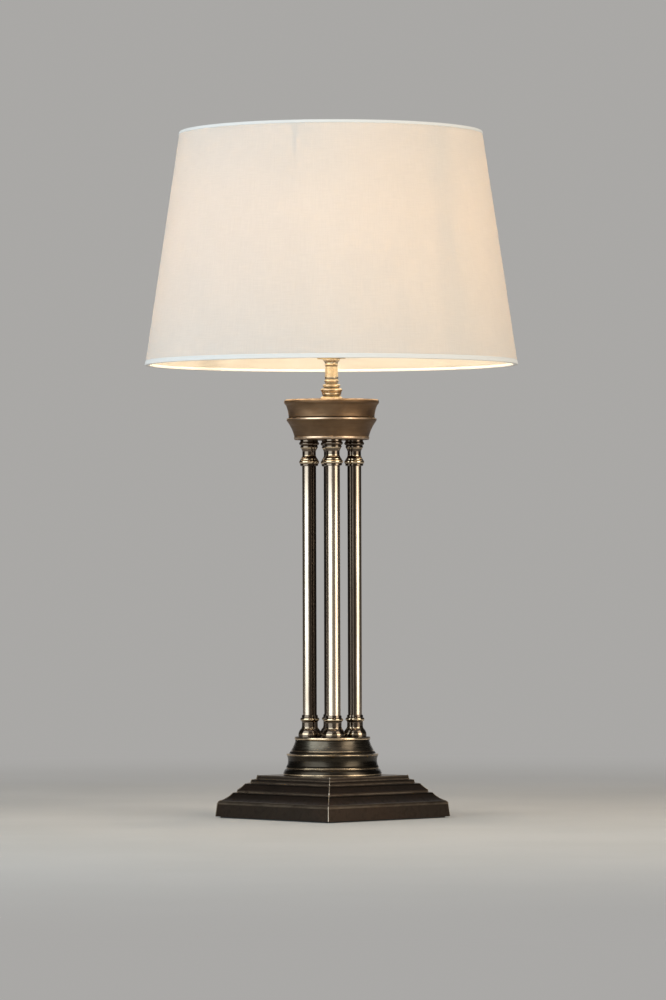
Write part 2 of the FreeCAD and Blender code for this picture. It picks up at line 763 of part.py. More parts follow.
def harp_half_path():
    """Half of the harp's loop, from a leg's foot to the middle of the crown: a straight
    leg, an S-bend out, a straight side, then two arcs over to the level crown."""
    leg_top = ledge_z + HARP_LEG_H
    side_bottom = leg_top + HARP_FLARE_H
    side_top = side_bottom + HARP_SIDE_H
    out = HARP_HALF_W - harp_leg_x
    turn = 2 * math.atan2(out, HARP_FLARE_H)
    bend = HARP_FLARE_H / (2 * math.sin(turn))
    mid = ((harp_leg_x + HARP_HALF_W) / 2, (leg_top + side_bottom) / 2)
    half = turn / 2
    low_mid = (harp_leg_x + bend * (1 - math.cos(half)), leg_top + bend * math.sin(half))
    high_mid = (HARP_HALF_W - bend * (1 - math.cos(half)), side_bottom - bend * math.sin(half))

    # The long arc's radius is the one that meets the crown's bend in a common tangent.
    width = HARP_HALF_W - HARP_CROWN_X
    rise = harp_top_z - side_top
    small = HARP_CROWN_R
    large = (width ** 2 + (rise - small) ** 2 - small ** 2) / (2 * (width - small))
    swing = math.atan2(rise - small, large - width)
    centre_x = HARP_HALF_W - large
    join = (centre_x + large * math.cos(swing), side_top + large * math.sin(swing))
    long_mid = (centre_x + large * math.cos(swing / 2), side_top + large * math.sin(swing / 2))
    crown_turn = (math.pi / 2 + swing) / 2
    crown_mid = (HARP_CROWN_X + small * math.cos(crown_turn),
                 harp_top_z - small + small * math.sin(crown_turn))
    return [
        (harp_leg_x, ledge_z),
        (harp_leg_x, leg_top),
        mid + low_mid,
        (HARP_HALF_W, side_bottom) + high_mid,
        (HARP_HALF_W, side_top),
        join + long_mid,
        (HARP_CROWN_X, harp_top_z) + crown_mid,
        (0, harp_top_z),
    ]


def harp_wire():
    edges = edges_through(harp_half_path())
    half = wire_sweep(edges, HARP_WIRE_R, Vector(harp_leg_x, 0, ledge_z), AXIS_Z)
    return half.fuse(half.mirror(Vector(), Vector(1, 0, 0))).removeSplitter()


def harp_stud():
    """The hub on the harp's crown: a seat for the shade and a stud for the finial."""
    z = harp_top_z
    body = disc(STUD_BODY_R, z - STUD_BODY_DOWN, STUD_BODY_DOWN + STUD_BODY_UP)
    passage = Part.makeCylinder(HARP_WIRE_R + SLIP, 2 * HARP_CROWN_X,
                                Vector(-HARP_CROWN_X, 0, z), Vector(1, 0, 0))
    return body.cut(passage).fuse(disc(STUD_R, seat_z, STUD_H))


def harp_sleeve(side):
    """A sliding ferrule that locks a harp leg to its tongue."""
    outer_x = harp_leg_x + HARP_WIRE_R
    bore_r = math.hypot((outer_x - TONGUE_X) / 2, TONGUE_W / 2) + SLEEVE_PLAY
    x = side * (TONGUE_X + outer_x) / 2
    return tube(bore_r + SLEEVE_RIM, bore_r, ledge_z, SLEEVE_H, x)


def finial():
    """A turned urn that screws down on the spider's hub."""
    z = finial_z
    outline = [
        (7.0, z),
        (7.4, z + 1.4, 7.4, z + 0.6),
        (4.2, z + 4.6, 5.2, z + 2.6),
        (4.2, z + 6.0),
        (5.4, z + 6.8),
        (5.4, z + 8.0, 5.8, z + 7.4),
        (4.6, z + 9.0),
        (8.8, z + 17.0, 7.6, z + 11.8),
        (4.4, z + 26.6, 7.8, z + 22.9),
        (3.0, z + 28.0, 3.4, z + 27.2),
        (0.01, z + 34.0, 3.6, z + 32.0),
    ]
    bore = disc(STUD_R + SLIP, z, FINIAL_BORE_DEPTH)
    return turned(outline).cut(bore)


# ---------------------------------------------------------------- shade
taper = (SHADE_BOTTOM_R - SHADE_TOP_R) / SHADE_H


def shade_r(z):
    """Outside radius of the fabric at a height."""
    return SHADE_BOTTOM_R - taper * (z - shade_bottom_z)


def cone_ring(z_low, z_high, depth_out, depth_in):
    """A tapered ring between two depths below the fabric's face."""
    outline = [(shade_r(z_low) - depth_out, z_low), (shade_r(z_high) - depth_out, z_high)]
    hollow = [(shade_r(z_low) - depth_in, z_low), (shade_r(z_high) - depth_in, z_high)]
    return turned(outline).cut(turned(hollow))


cover_low = shade_bottom_z + TRIM_T
cover_high = shade_top_z - TRIM_T
top_ring_z = cover_high - RING_WIRE_R
bottom_ring_z = cover_low + RING_WIRE_R


def ring_r(z):
    """Centre radius of a wire ring that lies against the backing."""
    return shade_r(z + RING_WIRE_R) - FABRIC_T - BACKING_T - RING_WIRE_R - SLIP


def shade_fabric():
    return cone_ring(cover_low, cover_high, 0.0, FABRIC_T)


def shade_backing():
    return cone_ring(cover_low, cover_high, FABRIC_T, FABRIC_T + BACKING_T)


def shade_ring(z):
    return Part.makeTorus(ring_r(z), RING_WIRE_R, Vector(0, 0, z), AXIS_Z)


def trim(z_edge, inward, height, ring_z):
    """Tape glued outside the fabric, over its edge and round to the inside of the ring.
    inward is +1 where the shade lies above the edge, and -1 where it lies below."""
    low, high = sorted((z_edge, z_edge + inward * height))
    edge_low, edge_high = sorted((z_edge, z_edge + inward * TRIM_T))
    inner_low, inner_high = sorted((z_edge, ring_z))
    ring_depth = shade_r(ring_z) - ring_r(ring_z) + RING_WIRE_R + SLIP
    outside = cone_ring(low, high, -TRIM_T, 0.0)
    over_edge = cone_ring(edge_low, edge_high, -TRIM_T, ring_depth + TRIM_T)
    inside = cone_ring(inner_low, inner_high, ring_depth, ring_depth + TRIM_T)
    return outside.fuse(over_edge).fuse(inside).removeSplitter()


def spider_hub():
    return tube(SPIDER_HUB_R, STUD_R + SEAT_GAP, seat_z, SPIDER_HUB_T)


def spider_arm(angle):
    """A wire welded under the hub, level to the shade's wall, then up to the top ring."""
    z = seat_z - SPIDER_ARM_R
    end_r = ring_r(top_ring_z)
    bend = SPIDER_BEND_R
    lean = math.sin(math.radians(45)) * bend
    path = [
        (SPIDER_ARM_START, z),
        (end_r - bend, z),
        (end_r, z + bend, end_r - bend + lean, z + bend - lean),
        (end_r, top_ring_z - RING_WIRE_R),
    ]
    arm = wire_sweep(edges_through(path), SPIDER_ARM_R, Vector(SPIDER_ARM_START, 0, z),
                     Vector(1, 0, 0))
    arm.rotate(Vector(), AXIS_Z, angle)
    return arm


# ---------------------------------------------------------------- the nodes
def build():
    os.makedirs("parts", exist_ok=True)
    centres = column_centres()

    save("felt_pad", [felt_pad()])
    save("bottom_plate", [bottom_plate()])
    save("plate_screws", [countersunk(plate_z, x, y) for x, y in corner_places(boss_offset)])
    save("base_weight", [base_weight()])
    weight_places = corner_places(weight_screw_offset)
    save("weight_screws", [countersunk(plate_z, x, y) for x, y in weight_places])
    save("base_plinth", [base_plinth()])
    save("cord_bush", [cord_bush()])
    save("bush_nut", [bush_nut()])
    save("base_collar", [base_collar()])

    save("rod_washers_lower", [washer(lower_washer_z, x, y) for x, y in centres])
    save("rod_nuts_lower", [hex_nut(lower_nut_z, x, y) for x, y in centres])
    save("rod_washers_upper", [washer(upper_washer_z, x, y) for x, y in centres])
    save("rod_nuts_upper", [hex_nut(upper_nut_z, x, y) for x, y in centres])
    rod, foot, shaft, cap = tie_rod(), column_foot(), column_tube(), column_cap()
    for number, centre in enumerate(centres, 1):
        save("tie_rod_%d" % number, [at_column(rod, centre)])
        save("column_foot_%d" % number, [at_column(foot, centre)])
        save("column_tube_%d" % number, [at_column(shaft, centre)])
        save("column_cap_%d" % number, [at_column(cap, centre)])

    save("capital_cup", [capital_cup()])
    save("capital_lid", [capital_lid()])
    save("nipple_washer", [washer(nipple_washer_z)])
    save("nipple_nut", [hex_nut(nipple_nut_z)])
    save("neck_nipple", [neck_nipple()])
    save("neck_stem", [neck_stem()])

    save("harp_saddle", [harp_saddle()])
    save("socket_cap", [socket_cap()])
    save("socket_core", [socket_core()])
    save("socket_shell", [socket_shell()])
    save("socket_sleeve", [socket_sleeve()])
    save("screw_shell", [screw_shell()])
    save("centre_contact", [centre_contact()])
    save("switch_shaft", [switch_shaft()])
    save("switch_knob", [switch_knob()])
    save("bulb_cap", [bulb_cap()])
    save("bulb_glass", [bulb_glass()])

    save("harp_wire", [harp_wire()])
    save("harp_stud", [harp_stud()])
    save("harp_sleeve_1", [harp_sleeve(1)])
    save("harp_sleeve_2", [harp_sleeve(-1)])
    save("finial", [finial()])

    save("spider_hub", [spider_hub()])
    arm_step = 360.0 / SPIDER_ARMS
    arms = [spider_arm(SPIDER_FIRST_DEG + i * arm_step) for i in range(SPIDER_ARMS)]
    save("spider_arms", arms)
    save("shade_top_ring", [shade_ring(top_ring_z)])
    save("shade_bottom_ring", [shade_ring(bottom_ring_z)])
    save("shade_backing", [shade_backing()])
    save("shade_fabric", [shade_fabric()])
    save("top_trim", [trim(shade_top_z, -1, TOP_TRIM_H, top_ring_z)])
    save("bottom_trim", [trim(shade_bottom_z, 1, BOTTOM_TRIM_H, bottom_ring_z)])


build()
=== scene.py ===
import math

import bpy
from mathutils import Matrix, Vector

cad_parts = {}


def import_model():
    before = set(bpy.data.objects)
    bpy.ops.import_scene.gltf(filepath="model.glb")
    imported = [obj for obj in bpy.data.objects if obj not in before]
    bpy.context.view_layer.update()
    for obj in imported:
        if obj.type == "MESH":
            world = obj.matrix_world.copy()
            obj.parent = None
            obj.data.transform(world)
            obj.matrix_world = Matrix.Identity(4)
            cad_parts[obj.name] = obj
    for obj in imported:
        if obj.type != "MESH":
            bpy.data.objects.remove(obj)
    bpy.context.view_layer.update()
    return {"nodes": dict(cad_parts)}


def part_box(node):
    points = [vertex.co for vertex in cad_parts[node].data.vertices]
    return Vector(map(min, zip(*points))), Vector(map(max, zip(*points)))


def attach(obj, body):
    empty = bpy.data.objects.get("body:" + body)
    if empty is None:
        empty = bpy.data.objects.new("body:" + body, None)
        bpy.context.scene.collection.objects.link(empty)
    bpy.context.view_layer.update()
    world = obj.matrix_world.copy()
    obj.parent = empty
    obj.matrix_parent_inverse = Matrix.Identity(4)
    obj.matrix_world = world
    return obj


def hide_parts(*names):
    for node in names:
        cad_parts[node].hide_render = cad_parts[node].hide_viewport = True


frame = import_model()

MM = 0.001
UP = Vector((0, 0, 1))
nodes = frame["nodes"]
scene = bpy.context.scene

# ---------------------------------------------------------------- driving values
# Lengths are in metres. The camera fits a frame of 666 x 1000 pixels, whose taller side takes
# the sensor's width. CAMERA_AZIMUTH is measured from -Y towards +X, and pitch is upwards.
CAMERA_AZIMUTH = math.radians(47.1)
CAMERA_DISTANCE = 5.67
CAMERA_HEIGHT = 0.272
CAMERA_PITCH = math.radians(0.749)
CAMERA_YAW = math.radians(0.013)
CAMERA_ROLL = math.radians(0.155)
LENS_MM = 187.2
SENSOR_MM = 36.0
VIEW_DEPTH = 60.0

# The studio: the floor fades into the background between two distances from the lamp's axis,
# and the softboxes look at the point of that axis at the height SOFTBOX_AIM.
BACKGROUND = (0.40, 0.392, 0.38)
FLOOR_HALF = 40.0
HAZE_FROM, HAZE_TO = 0.35, 1.9
SOFTBOX_AIM = 0.42

# The bulb: its power is in watts, and the light's own ball is a share of the glass's width.
BULB_COLOUR = (1.0, 0.80, 0.58)
BULB_POWER = 2.6
BULB_BALL = 0.14
BULB_GLOW = 5.0

# The shade's cloth, tape and glued seam.
ROUND_STEPS = 512
CLOTH_T = 0.5 * MM
COVER_ROWS = 48
TAPE_T = 0.4 * MM
TAPE_TURN_IN = 1.9 * MM
TAPE_GAP = 0.05 * MM
TAPE_FOLD_R = 0.9 * MM
TAPE_INNER_FOLD_R = 0.25 * MM
SEAM_ANGLE = math.radians(137.0)
SEAM_WIDTH = 9.0 * MM
SEAM_PROUD = 0.35 * MM
SEAM_ABOVE_FOOT, SEAM_BELOW_TOP = 5.2 * MM, 3.6 * MM

# The felt's corner radius, and its edge from bottom to top as (share of its height, how far
# it draws in, in mm).
FELT_CORNER_R = 2.5 * MM
FELT_EDGE = [(0.0, 0.35), (0.12, 0.0), (0.5, -0.08), (0.88, 0.0), (1.0, 0.3)]

# The filed ridge along each of the plinth's mitres, and how deep its middle lies.
MITRE_R = 0.60 * MM
MITRE_SUNK = 0.24 * MM

# Marks on the turned and moulded metal, in mm. Those on the plinth are measured down from its
# top: its lips, lighter with rubbed wear and a painted highlight, are (drop, half-width, strength),
# and its folds, darkened as painted shade, are where a tread meets a riser. The others are (height,
# half-width), over the lowest point of the piece, or over its top where the name says so, and so
# negative there.
# Their lines are bright, partly with wear and partly as painted highlights.
PLINTH_LIPS = [(29.6, 1.6, 0.6), (18.3, 0.7, 1.0), (8.3, 0.6, 1.0), (4.2, 0.5, 1.0), (0.5, 0.5, 0.8)]
PLINTH_FOLDS = [(19.7, 0.4), (9.7, 0.4), (5.3, 0.4)]
COLLAR_TOP_LINES = [(-1.6, 0.9)]
COLLAR_LINES = [(22.9, 0.6), (26.9, 0.2), (8.3, 0.35), (1.4, 0.3)]
COLLAR_GROOVES = [(10.1, 0.5), (25.2, 0.45)]
COLLAR_TOP_GROOVES = [(-3.4, 0.4)]
CAPITAL_TOP_LINES = [(-0.5, 0.7)]
CAPITAL_LINES = [(22.6, 0.6), (1.9, 0.9)]
CAPITAL_GROOVES = [(24.2, 0.3)]
FOOT_LINES = [(19.0, 0.8), (3.2, 0.4), (9.6, 0.3)]
CAP_LINES = [(4.4, 1.2), (7.6, 0.4), (19.6, 0.35), (11.6, 0.3)]
NECK_GROOVES = [(7.8, 0.3), (16.9, 0.3), (21.6, 0.3), (26.1, 0.3), (40.1, 0.3)]


# ---------------------------------------------------------------- view
def compass(angle):
    """The level direction at an angle from the camera's: 0 is towards it, positive to its right."""
    bearing = CAMERA_AZIMUTH + angle
    return Vector((math.sin(bearing), -math.cos(bearing), 0.0))


def studio_point(angle, distance, height):
    """A point by its compass angle, its distance from the lamp's axis and its height."""
    return compass(angle) * distance + UP * height


def make_camera():
    data = bpy.data.cameras.new("camera")
    data.sensor_fit = "AUTO"
    data.sensor_width = SENSOR_MM
    data.lens = LENS_MM
    data.clip_end = VIEW_DEPTH
    camera = bpy.data.objects.new("camera", data)
    scene.collection.objects.link(camera)
    level = -compass(-CAMERA_YAW)
    right = level.cross(UP)
    forward = level * math.cos(CAMERA_PITCH) + UP * math.sin(CAMERA_PITCH)
    up = right.cross(forward)
    rolled_up = up * math.cos(CAMERA_ROLL) + right * math.sin(CAMERA_ROLL)
    rolled_right = right * math.cos(CAMERA_ROLL) - up * math.sin(CAMERA_ROLL)
    turn = Matrix((rolled_right, rolled_up, -forward)).transposed().to_4x4()
    place = studio_point(0.0, CAMERA_DISTANCE, CAMERA_HEIGHT)
    camera.matrix_world = Matrix.Translation(place) @ turn
    scene.camera = camera


# ---------------------------------------------------------------- node helpers
# Where a Mix node keeps its colours: two inputs and an output.
MIX_A, MIX_B, MIX_RESULT = 6, 7, 2


class Tree:
    """A short way to write a material's nodes."""

    def __init__(self, name):
        self.material = bpy.data.materials.new(name)
        self.material.use_nodes = True
        self.tree = self.material.node_tree
        self.shader = self.tree.nodes["Principled BSDF"]
        self.output = self.tree.nodes["Material Output"]
        coords = self.node("TexCoord")
        self.where = coords.outputs["Object"]
        self.uv = coords.outputs["UV"]

    def node(self, kind, **settings):
        made = self.tree.nodes.new("ShaderNode" + kind)
        for key, value in settings.items():
            setattr(made, key, value)
        return made

    def link(self, source, target):
        self.tree.links.new(source, target)

    def put(self, target, value):
        """Give a socket a value, or link it where the value comes from another node."""
        if isinstance(value, bpy.types.NodeSocket):
            self.link(value, target)
        else:
            target.default_value = value

    def math(self, operation, a, b=0.0):
        made = self.node("Math", operation=operation)
        self.put(made.inputs[0], a)
        self.put(made.inputs[1], b)
        return made.outputs[0]

    def add(self, a, b):
        return self.math("ADD", a, b)

    def times(self, a, b):
        return self.math("MULTIPLY", a, b)

    def xyz(self, vector):
        parts = self.node("SeparateXYZ")
        self.link(vector, parts.inputs[0])
        return parts.outputs

    def height(self):
        """The point's height over the floor."""
        return self.xyz(self.where)[2]

    def vector(self, x, y, z):
        made = self.node("CombineXYZ")
        for socket, value in zip(made.inputs, (x, y, z)):
            self.put(socket, value)
        return made.outputs[0]

    def scaled(self, vector, x, y, z):
        made = self.node("VectorMath", operation="MULTIPLY")
        self.link(vector, made.inputs[0])
        made.inputs[1].default_value = (x, y, z)
        return made.outputs[0]

    def noise(self, vector, scale, detail=3.0, roughness=0.5, distortion=0.0):
        made = self.node("TexNoise")
        self.link(vector, made.inputs["Vector"])
        made.inputs["Scale"].default_value = scale
        made.inputs["Detail"].default_value = detail
        made.inputs["Roughness"].default_value = roughness
        made.inputs["Distortion"].default_value = distortion
        return made.outputs["Fac"]

    def ranged(self, value, low, high, out_low=0.0, out_high=1.0, smooth=True):
        """Carry the range from low to high onto the one from out_low to out_high."""
        made = self.node("MapRange", interpolation_type="SMOOTHSTEP" if smooth else "LINEAR")
        self.put(made.inputs["Value"], value)
        for key, number in (("From Min", low), ("From Max", high), ("To Min", out_low),
                            ("To Max", out_high)):
            made.inputs[key].default_value = number
        return made.outputs[0]

    def mix(self, factor, a, b, blend="MIX"):
        made = self.node("Mix", data_type="RGBA", blend_type=blend)
        self.put(made.inputs["Factor"], factor)
        self.put(made.inputs[MIX_A], (*a, 1.0) if isinstance(a, tuple) else a)
        self.put(made.inputs[MIX_B], (*b, 1.0) if isinstance(b, tuple) else b)
        return made.outputs[MIX_RESULT]

    def toned(self, colour, tone):
        """A colour made lighter or darker by a tone, which is 1 where the colour stays."""
        return self.mix(1.0, colour, self.vector(tone, tone, tone), "MULTIPLY")

    def bump(self, height, distance, strength):
        made = self.node("Bump")
        self.link(height, made.inputs["Height"])
        made.inputs["Distance"].default_value = distance
        made.inputs["Strength"].default_value = strength
        return made.outputs["Normal"]

    def set(self, **values):
        """Set the shader's inputs by name, with _ for a space."""
        for key, value in values.items():
            self.put(self.shader.inputs[key.replace("_", " ")], value)

    def blend_in(self, share, other):
        """Let another shader take that share of the surface."""
        both = self.node("MixShader")
        self.put(both.inputs[0], share)
        self.link(self.shader.outputs[0], both.inputs[1])
        self.link(other, both.inputs[2])
        self.link(both.outputs[0], self.output.inputs["Surface"])

    def let_through(self, share, colour, normal):
        """Let that share of the light pass through, in that colour."""
        glow = self.node("BsdfTranslucent")
        self.link(colour, glow.inputs["Color"])
        self.link(normal, glow.inputs["Normal"])
        self.blend_in(share, glow.outputs[0])


def darker(colour, share):
    """The colour with only that share of its brightness."""
    return tuple(channel * share for channel in colour)


def axis_distance(tree, x, y):
    """A point's distance from the lamp's axis."""
    return tree.math("SQRT", tree.add(tree.times(x, x), tree.times(y, y)))


def round_coords(tree):
    """A point's height, and a vector that goes round the lamp's axis without a seam: the
    point's direction from the axis in X and Y, and its height in Z."""
    x, y, z = tree.xyz(tree.where)
    radius = tree.math("MAXIMUM", axis_distance(tree, x, y), 0.01 * MM)
    return z, tree.vector(tree.math("DIVIDE", x, radius), tree.math("DIVIDE", y, radius), z)


def line_mask(tree, z, height, half_width, softness):
    """1 on the line at that height, falling to 0 past its half-width."""
    away = tree.math("ABSOLUTE", tree.add(z, -height))
    return tree.ranged(away, half_width, half_width + softness, 1.0, 0.0)


def highest(tree, masks):
    """The highest of several masks, point by point."""
    total = masks[0]
    for mask in masks[1:]:
        total = tree.math("MAXIMUM", total, mask)
    return total


def any_line(tree, z, lines, softness):
    """1 on each of the lines, which are (height, half-width)."""
    return highest(tree, [line_mask(tree, z, height, half, softness) for height, half in lines])


def marks_above(base_z, marks):
    """Marks in mm over a height, as lines in metres."""
    return [(base_z + height * MM, half * MM) for height, half in marks]


def marks_below(top_z, marks):
    """Marks in mm under a height, as lines in metres."""
    return [(top_z - drop * MM, half * MM) for drop, half in marks]


# ---------------------------------------------------------------- metals
def turned_metal(name, colour, dark, roughness, brush, stain=0.5, ring_scale=900.0, lines=(),
                 wear_and_highlight_colour=None, grooves=(), shaded_below=0.0, shade_depth=0.0):
    """Metal finished on a lathe: fine rings round the axis, soft stains, bright lines that are partly
    rubbed wear and partly painted highlight, and dark ones in the grooves. Below a given height it is
    darker: painted shade."""
    tree = Tree(name)
    z, round_vector = round_coords(tree)
    rings = tree.noise(tree.scaled(round_vector, 2.5, 2.5, ring_scale), 1.0, 4.0, 0.6)
    wide_rings = tree.noise(tree.scaled(round_vector, 1.2, 1.2, ring_scale / 9), 1.0, 3.0, 0.55)
    cloud = tree.noise(tree.where, 28.0, 5.0, 0.6, 0.4)
    speck = tree.noise(tree.where, 420.0, 2.0, 0.6)
    base = tree.mix(tree.times(tree.ranged(cloud, 0.38, 0.68), stain), colour, dark)
    # Painted shade: darker below the given height.
    base = tree.mix(tree.ranged(z, shaded_below - 1.5 * MM, shaded_below, shade_depth, 0.0), base,
                    darker(dark, 0.3))
    base = tree.toned(base, tree.ranged(wide_rings, 0.35, 0.65, 0.86, 1.12, smooth=False))
    rough = tree.ranged(rings, 0.3, 0.7, roughness - brush / 2, roughness + brush, smooth=False)
    rough = tree.add(rough, tree.ranged(speck, 0.62, 0.78, 0.0, 0.12))
    if grooves:
        deep = any_line(tree, z, grooves, softness=0.5 * MM)
        base = tree.mix(tree.times(deep, 0.85), base, darker(dark, 0.12))
        rough = tree.add(rough, tree.times(deep, 0.25))
    # Bright lines: partly rubbed wear, partly a painted highlight.
    if lines:
        patchy = tree.ranged(tree.noise(tree.scaled(round_vector, 3.0, 3.0, 60.0), 1.0, 4.0, 0.7),
                             0.32, 0.6, 0.35, 1.0)
        worn_and_lit = tree.times(any_line(tree, z, lines, softness=0.45 * MM), patchy)
        base = tree.mix(worn_and_lit, base, wear_and_highlight_colour)
        rough = tree.add(rough, tree.times(worn_and_lit, -roughness * 0.35))
    height = tree.add(tree.times(rings, 0.6), tree.times(speck, 0.4))
    tree.set(Base_Color=base, Roughness=rough, Metallic=1.0,
             Normal=tree.bump(height, 0.02 * MM, 0.35))
    return tree.material


def plinth_metal():
    """Dark bronze over the mitred block: lighter along each step's lip, partly rubbed wear and partly
    a painted highlight, and darker where a tread meets a riser, as painted shade."""
    bronze, brown, black = (0.060, 0.046, 0.036), (0.074, 0.051, 0.038), (0.028, 0.022, 0.018)
    rubbed_and_lit, crease_shade = (0.30, 0.235, 0.175), (0.012, 0.009, 0.007)
    tree = Tree("dark_bronze_rubbed")
    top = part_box("base_plinth")[1].z
    z = tree.height()
    cloud = tree.noise(tree.where, 16.0, 5.0, 0.62, 0.5)
    fine = tree.noise(tree.where, 160.0, 4.0, 0.6)
    brushed = tree.noise(tree.scaled(tree.where, 30.0, 30.0, 900.0), 1.0, 3.0, 0.6)
    base = tree.mix(tree.ranged(cloud, 0.36, 0.66), bronze, brown)
    base = tree.mix(tree.ranged(fine, 0.45, 0.7, 0.0, 0.5), base, black)
    # The lips: partly rubbed wear, partly a painted highlight.
    lips = [tree.times(line_mask(tree, z, top - drop * MM, half * MM, softness=0.6 * MM), strength)
            for drop, half, strength in PLINTH_LIPS]
    patchy = tree.ranged(tree.noise(tree.scaled(tree.where, 22.0, 22.0, 90.0), 1.0, 4.0, 0.65),
                         0.34, 0.62, 0.3, 1.0)
    worn_and_lit = tree.times(highest(tree, lips), patchy)
    base = tree.mix(worn_and_lit, base, rubbed_and_lit)
    # Painted shade in the folds where a tread meets a riser.
    shaded_folds = any_line(tree, z, marks_below(top, PLINTH_FOLDS), softness=0.5 * MM)
    base = tree.mix(tree.times(shaded_folds, 0.8), base, crease_shade)
    rough = tree.ranged(fine, 0.3, 0.7, 0.32, 0.44, smooth=False)
    rough = tree.add(rough, tree.times(worn_and_lit, -0.08))
    height = tree.add(tree.times(brushed, 0.5), tree.times(fine, 0.5))
    tree.set(Base_Color=base, Roughness=rough, Metallic=1.0,
             Normal=tree.bump(height, 0.05 * MM, 0.4))
    return tree.material


def column_metal(node):
    """Antique brass with faint draw lines. It is polished where a cloth reaches. It is painted darker
    brown on the side that faces the other columns and, more faintly, close under its cap: painted
    shade."""
    polished, tanned = (0.74, 0.62, 0.50), (0.48, 0.38, 0.29)
    spotted, brown = (0.16, 0.12, 0.09), (0.060, 0.042, 0.030)
    shade_under_cap = 90 * MM
    tree = Tree("column_brass_" + node[-1])
    x, y, z = tree.xyz(tree.where)
    low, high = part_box(node)
    middle = (low + high) / 2
    radius = (high.x - low.x) / 2
    inward = -Vector((middle.x, middle.y)).normalized()
    facing = tree.add(tree.times(tree.add(x, -middle.x), inward.x / radius),
                      tree.times(tree.add(y, -middle.y), inward.y / radius))
    draw = tree.noise(tree.scaled(tree.where, 1500.0, 1500.0, 12.0), 1.0, 3.0, 0.6)
    cloud = tree.noise(tree.scaled(tree.where, 40.0, 40.0, 14.0), 1.0, 4.0, 0.6)
    speck = tree.noise(tree.where, 520.0, 2.0, 0.6)
    base = tree.mix(tree.ranged(cloud, 0.35, 0.68, 0.0, 0.5), polished, tanned)
    base = tree.mix(tree.ranged(speck, 0.66, 0.8, 0.0, 0.35), base, spotted)
    # Painted shade: darker brown on the side that faces the other columns.
    wander = tree.add(facing, tree.ranged(cloud, 0.3, 0.7, -0.08, 0.08, smooth=False))
    base = tree.mix(tree.ranged(wander, -0.32, 0.06, 0.0, 0.94), base, brown)
    # Painted shade: darker brown close under the cap.
    base = tree.mix(tree.ranged(z, high.z - shade_under_cap, high.z, 0.0, 0.45), base, brown)
    rough = tree.ranged(cloud, 0.3, 0.7, 0.17, 0.25, smooth=False)
    rough = tree.add(rough, tree.ranged(draw, 0.3, 0.7, -0.02, 0.04, smooth=False))
    tree.set(Base_Color=base, Roughness=rough, Metallic=1.0,
             Normal=tree.bump(draw, 0.004 * MM, 0.35))
    return tree.material


def plain_metal(name, colour, roughness, scale=140.0):
    """Plated or satin metal, a little clouded, with a fine grain."""
    tree = Tree(name)
    cloud = tree.noise(tree.where, scale / 4, 4.0, 0.6)
    fine = tree.noise(tree.where, scale * 4, 3.0, 0.6)
    base = tree.mix(tree.ranged(cloud, 0.35, 0.7, 0.0, 0.6), colour, darker(colour, 0.62))
    rough = tree.ranged(fine, 0.3, 0.7, roughness - 0.05, roughness + 0.1, smooth=False)
    tree.set(Base_Color=base, Roughness=rough, Metallic=1.0,
             Normal=tree.bump(fine, 0.02 * MM, 0.3))
    return tree.material


def iron():
    """The weight's rough casting, with a little rust."""
    bare, rusty = (0.06, 0.058, 0.055), (0.10, 0.055, 0.032)
    tree = Tree("cast_iron_weight")
    grain = tree.noise(tree.where, 500.0, 5.0, 0.7)
    rust = tree.noise(tree.where, 40.0, 5.0, 0.65)
    tree.set(Base_Color=tree.mix(tree.ranged(rust, 0.5, 0.75), bare, rusty), Roughness=0.75,
             Metallic=0.6, Normal=tree.bump(grain, 0.15 * MM, 0.8))
    return tree.material


# ---------------------------------------------------------------- moulding, cloth and bulb
def moulded(name, colour, roughness):
    """Moulded or enamelled: even, with a faint clouding and grain."""
    paler = tuple(min(1.0, channel * 1.3 + 0.004) for channel in colour)
    tree = Tree(name)
    fine = tree.noise(tree.where, 900.0, 3.0, 0.6)
    cloud = tree.noise(tree.where, 60.0, 3.0, 0.5)
    base = tree.mix(tree.ranged(cloud, 0.35, 0.7, 0.0, 0.35), colour, paler)
    rough = tree.ranged(fine, 0.3, 0.7, roughness - 0.04, roughness + 0.08, smooth=False)
    tree.set(Base_Color=base, Roughness=rough, Normal=tree.bump(fine, 0.03 * MM, 0.3))
    return tree.material


def woven(tree, threads_u, threads_v):
    """A plain weave's height, and the slubs along and up the cloth. The threads are per metre,
    because the UVs are in metres."""
    u, v, _ = tree.xyz(tree.uv)
    slub_u = tree.noise(tree.scaled(tree.uv, 60.0, 900.0, 0.0), 1.0, 3.0, 0.6)
    slub_v = tree.noise(tree.scaled(tree.uv, 900.0, 45.0, 0.0), 1.0, 3.0, 0.6)
    wave_u = tree.math("SINE", tree.times(u, threads_u * math.tau))
    wave_v = tree.math("SINE", tree.times(v, threads_v * math.tau))
    cross = tree.times(wave_u, wave_v)
    return tree.add(tree.times(cross, 0.3), tree.add(slub_u, slub_v)), slub_u, slub_v


def linen(name, through_colour, see_through):
    """The shade's cover: off-white slubbed linen. It lets the share see_through of the bulb's
    light pass, in the colour through_colour."""
    off_white = (0.855, 0.865, 0.862)
    tree = Tree(name)
    height, slub_u, slub_v = woven(tree, 1400.0, 1300.0)
    cloud = tree.noise(tree.uv, 22.0, 4.0, 0.6)
    slubs = tree.add(tree.times(slub_u, 0.5), tree.times(slub_v, 0.5))
    tone = tree.times(tree.ranged(slubs, 0.32, 0.68, 0.955, 1.03, smooth=False),
                      tree.ranged(cloud, 0.3, 0.7, 0.985, 1.01, smooth=False))
    normal = tree.bump(height, 0.10 * MM, 0.35)
    tree.set(Base_Color=tree.toned(off_white, tone), Roughness=0.85, Normal=normal,
             Sheen_Weight=0.15, Sheen_Roughness=0.5, Specular_IOR_Level=0.15)
    tree.let_through(see_through, tree.toned(through_colour, tone), normal)
    return tree.material


